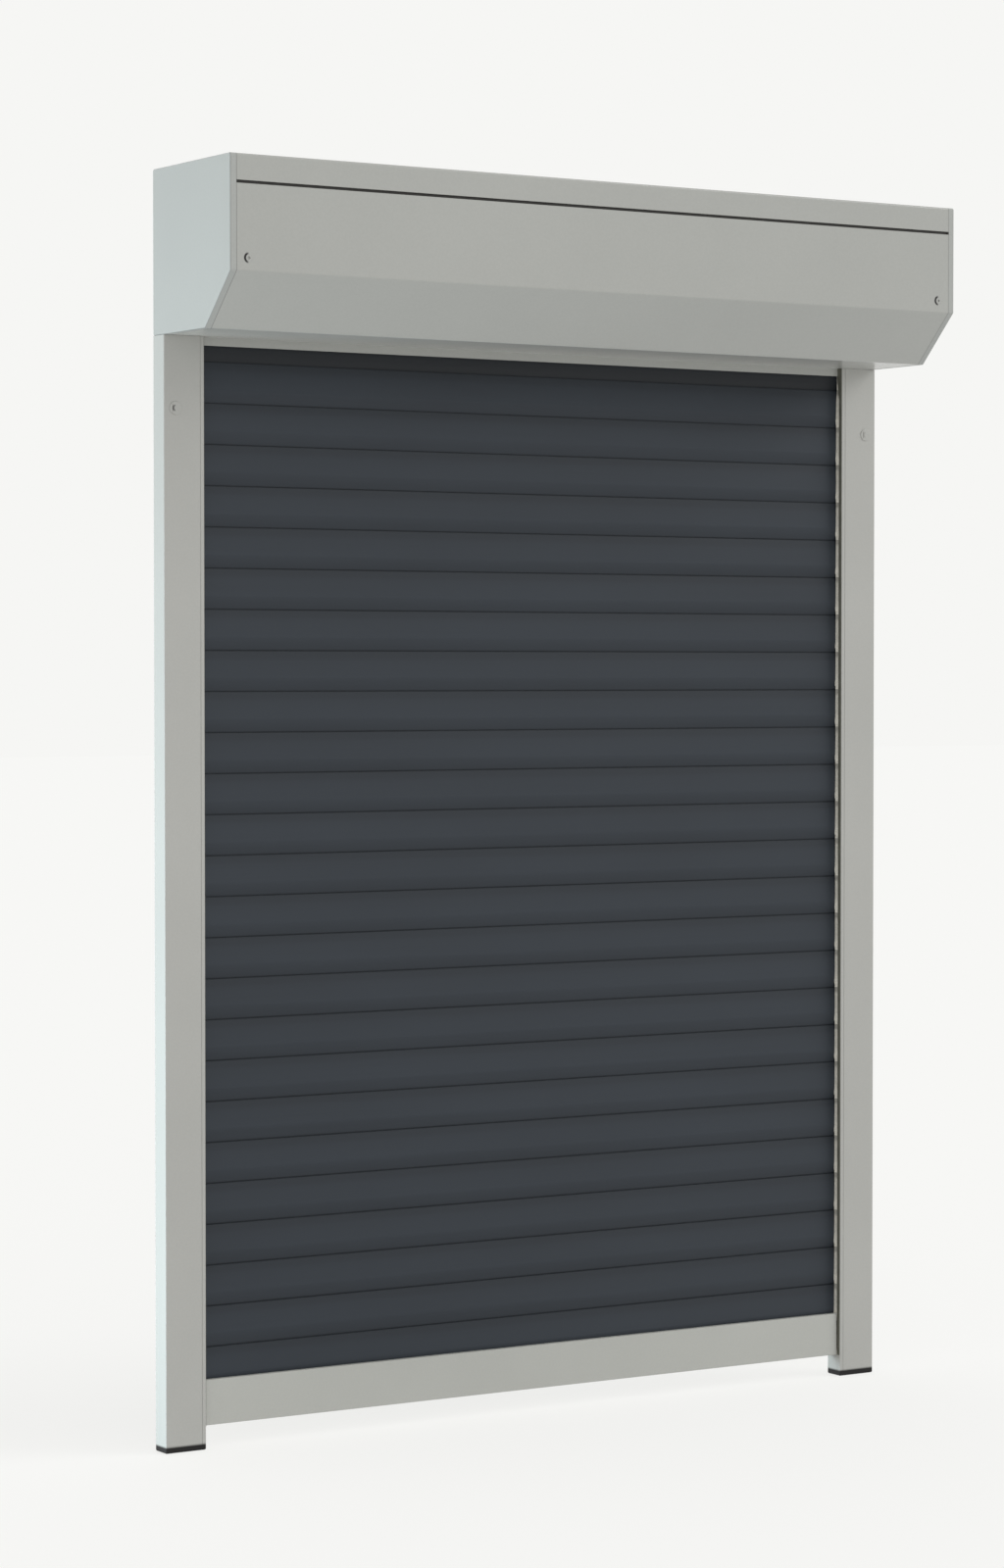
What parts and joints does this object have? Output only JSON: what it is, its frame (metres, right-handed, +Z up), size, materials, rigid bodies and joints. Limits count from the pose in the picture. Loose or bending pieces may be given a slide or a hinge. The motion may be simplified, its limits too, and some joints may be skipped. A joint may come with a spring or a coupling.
{
  "type": "exterior roller shutter",
  "caption": "Front-mounted exterior roller shutter: a chamfered box with a motor tube, two guide rails and a hooked slat curtain with a bottom bar.",
  "frame": {"origin": "middle of the footprint at the level of the guide feet", "axes": "+X to the right along the winding tube, +Y towards the wall, +Z up; the front faces -Y"},
  "size_m": [0.88, 0.16, 1.273],
  "materials": {
    "box_paint": "satin light grey paint on folded aluminium sheet",
    "cap_paint": "satin light grey paint on cast aluminium",
    "guide_paint": "satin light grey paint on extruded aluminium",
    "bar_paint": "satin light grey paint on extruded aluminium",
    "slat_paint": "matt anthracite coil coating on roll-formed aluminium",
    "brush_pile": "silver grey pile",
    "seal_strip": "soft black strip",
    "black_plastic": "matt black moulding",
    "foot_plastic": "matt black moulding",
    "grey_plastic": "light grey moulding",
    "screw_steel": "zinc-plated",
    "motor_case": "satin",
    "drive_plastic": "dark grey moulding",
    "galvanised_steel": "galvanised",
    "bearing_steel": "ground",
    "spring_steel": "blued"
  },
  "bodies": {
    "housing": {"top_back_shell": "box_paint", "front_cover": "box_paint", "slot_profile": "box_paint", "end_cap_left": "cap_paint", "end_cap_right": "cap_paint", "guide_left": "guide_paint", "guide_right": "guide_paint", "brush_seal_left": "brush_pile", "brush_seal_right": "brush_pile", "rear_seals": "seal_strip", "inlet_left": "black_plastic", "inlet_right": "black_plastic", "foot_cap_left": "foot_plastic", "foot_cap_right": "foot_plastic", "guide_stops": "guide_paint", "hole_plugs": "grey_plastic", "box_screws": "screw_steel", "motor_body": "motor_case", "motor_head": "drive_plastic", "motor_bracket": "galvanised_steel", "bearing_outer_ring": "bearing_steel", "hanger_straps": "spring_steel"},
    "tube_set": {"winding_tube": "galvanised_steel", "motor_crown": "drive_plastic", "drive_adapter": "drive_plastic", "idler_plug": "drive_plastic", "idler_pin": "bearing_steel", "bearing_inner_ring": "bearing_steel", "hanger_rings": "drive_plastic"},
    "bearing_cage": {"bearing_balls": "bearing_steel"},
    "curtain": {"bottom_bar": "bar_paint", "bar_end_left": "black_plastic", "bar_end_right": "black_plastic", "slat_end_clips": "black_plastic", "slat_01": "slat_paint", "slat_02": "slat_paint", "slat_03": "slat_paint", "slat_04": "slat_paint", "slat_05": "slat_paint", "slat_06": "slat_paint", "slat_07": "slat_paint", "slat_08": "slat_paint", "slat_09": "slat_paint", "slat_10": "slat_paint", "slat_11": "slat_paint", "slat_12": "slat_paint", "slat_13": "slat_paint", "slat_14": "slat_paint", "slat_15": "slat_paint", "slat_16": "slat_paint", "slat_17": "slat_paint", "slat_18": "slat_paint", "slat_19": "slat_paint", "slat_20": "slat_paint", "slat_21": "slat_paint", "slat_22": "slat_paint", "slat_23": "slat_paint", "slat_24": "slat_paint", "slat_25": "slat_paint", "slat_26": "slat_paint"}
  },
  "joints": [
    {"name": "curtain_lift", "type": "slide", "parent": "housing", "child": "curtain", "axis": [0, 0, 1], "range_m": [0, 0.14], "deforming": ["hanger_straps"]},
    {"name": "tube_turn", "type": "hinge", "parent": "housing", "child": "tube_set", "pos_m": [0, 0, 1.191], "axis": [1, 0, 0], "range_deg": [0, 205]},
    {"name": "bearing_cage_turn", "type": "hinge", "parent": "housing", "child": "bearing_cage", "pos_m": [-0.425, 0, 1.191], "axis": [1, 0, 0], "range_deg": [0, 81]}
  ],
  "couplings": [
    {"joint": "tube_turn", "follows": "curtain_lift", "rad_per_m": 25.52},
    {"joint": "bearing_cage_turn", "follows": "curtain_lift", "rad_per_m": 10.03}
  ]
}
